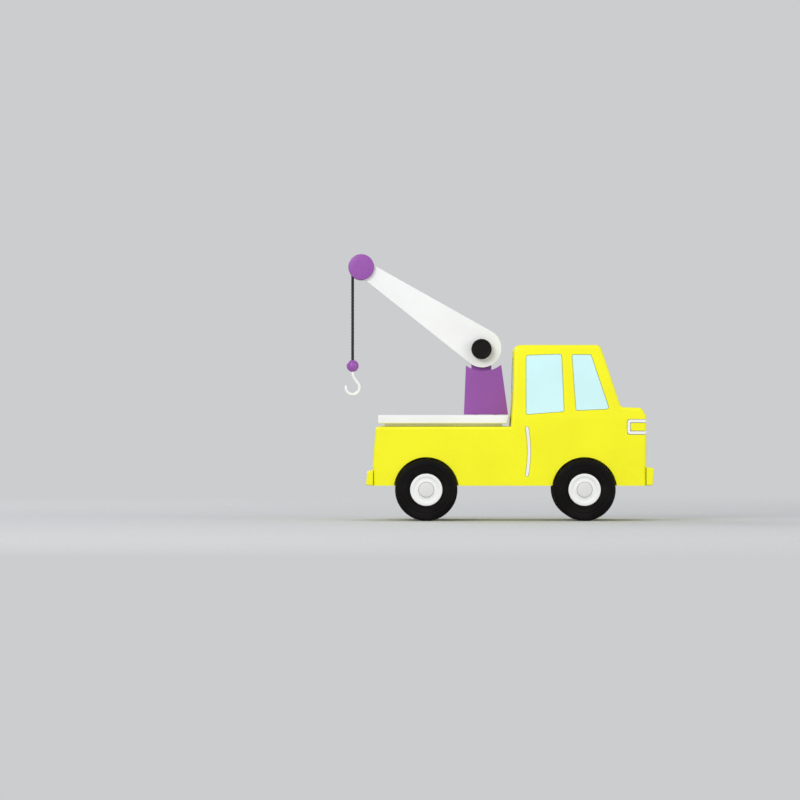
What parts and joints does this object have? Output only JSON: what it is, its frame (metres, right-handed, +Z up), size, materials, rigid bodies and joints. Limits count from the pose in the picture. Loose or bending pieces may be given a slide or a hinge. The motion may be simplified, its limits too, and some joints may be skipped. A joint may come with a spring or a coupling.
{
  "type": "toy tow truck",
  "caption": "Toy tow truck with rolling wheels, a hinged lifting boom, and a knob-driven winch whose cord runs over a sheave to a swivelling hook.",
  "frame": {"origin": "on the ground, midway between the front bumper and the back of the boom's tip, in the middle of the width", "axes": "+X to the front of the truck, +Y to its left side, +Z up"},
  "size_m": [0.2484, 0.1138, 0.2142],
  "materials": {
    "yellow_plastic": "satin",
    "white_plastic": "satin",
    "purple_plastic": "satin",
    "black_plastic": "satin",
    "window_plastic": "gloss",
    "hubcap_plastic": "matte",
    "tyre_rubber": "matte",
    "steel": "brushed",
    "cord": "braided"
  },
  "bodies": {
    "truck": {"base_plate": "yellow_plastic", "body_shell": "yellow_plastic", "windscreen": "window_plastic", "rear_window": "window_plastic", "deck": "white_plastic", "mast": "purple_plastic", "side_glass_left": "window_plastic", "door_line_left": "white_plastic", "headlight_frame_left": "white_plastic", "headlight_lens_left": "yellow_plastic", "side_glass_right": "window_plastic", "door_line_right": "white_plastic", "headlight_frame_right": "white_plastic", "headlight_lens_right": "yellow_plastic", "rear_axle_retainer": "black_plastic", "front_axle_retainer": "black_plastic", "base_screw_rear_left": "steel", "retainer_screw_rear_left": "steel", "base_screw_rear_right": "steel", "retainer_screw_rear_right": "steel", "deck_screw_rear": "steel", "mast_screw_rear": "steel", "base_screw_front_left": "steel", "retainer_screw_front_left": "steel", "base_screw_front_right": "steel", "retainer_screw_front_right": "steel", "deck_screw_front": "steel", "mast_screw_front": "steel"},
    "front_wheels": {"front_axle": "steel", "front_tyre_left": "tyre_rubber", "front_hub_left": "white_plastic", "front_hubcap_left": "hubcap_plastic", "front_tyre_right": "tyre_rubber", "front_hub_right": "white_plastic", "front_hubcap_right": "hubcap_plastic"},
    "rear_wheels": {"rear_axle": "steel", "rear_tyre_left": "tyre_rubber", "rear_hub_left": "white_plastic", "rear_hubcap_left": "hubcap_plastic", "rear_tyre_right": "tyre_rubber", "rear_hub_right": "white_plastic", "rear_hubcap_right": "hubcap_plastic"},
    "boom": {"boom": "white_plastic", "hoist_cord_inside": "cord"},
    "winch": {"winch_axle": "steel", "winch_drum": "black_plastic", "hoist_cord_coil": "cord", "friction_washer_left": "steel", "winch_knob_left": "black_plastic", "friction_washer_right": "steel", "winch_knob_right": "black_plastic"},
    "sheave": {"sheave": "purple_plastic", "sheave_pin": "steel", "sheave_cap_left": "purple_plastic", "sheave_cap_right": "purple_plastic"},
    "line": {"hoist_cord": "cord"},
    "hook_block": {"hook_ball": "purple_plastic"},
    "hook": {"hook": "white_plastic"}
  },
  "joints": [
    {"name": "front_axle_roll", "type": "hinge", "parent": "truck", "child": "front_wheels", "pos_m": [0.0666, 0, 0.025], "axis": [0, 1, 0], "continuous": true},
    {"name": "rear_axle_roll", "type": "hinge", "parent": "truck", "child": "rear_wheels", "pos_m": [-0.06, 0, 0.025], "axis": [0, 1, 0], "continuous": true},
    {"name": "boom_lift", "type": "hinge", "parent": "truck", "child": "boom", "pos_m": [-0.0154, 0, 0.1378], "axis": [0, 1, 0], "range_deg": [-28, 30]},
    {"name": "winch_turn", "type": "hinge", "parent": "boom", "child": "winch", "pos_m": [-0.0154, 0, 0.1378], "axis": [0, -1, 0], "range_deg": [-350, 350]},
    {"name": "sheave_spin", "type": "hinge", "parent": "boom", "child": "sheave", "pos_m": [-0.11222, 0, 0.20385], "axis": [0, 1, 0], "range_deg": [-312, 312]},
    {"name": "hook_swing", "type": "hinge", "parent": "boom", "child": "line", "pos_m": [-0.11222, 0, 0.20385], "axis": [0, 1, 0], "range_deg": [-31, 31]},
    {"name": "hoist", "type": "slide", "parent": "line", "child": "hook_block", "axis": [0, 0, 1], "range_m": [-0.038, 0.038], "deforming": ["hoist_cord"]},
    {"name": "hook_swivel", "type": "hinge", "parent": "hook_block", "child": "hook", "pos_m": [-0.11922, 0, 0.12435], "axis": [0, 0, 1], "continuous": true}
  ],
  "couplings": [
    {"joint": "sheave_spin", "follows": "winch_turn", "ratio": 0.88571},
    {"joint": "hoist", "follows": "winch_turn", "m_per_rad": 0.0062},
    {"joint": "hook_swing", "follows": "boom_lift", "ratio": -1}
  ]
}
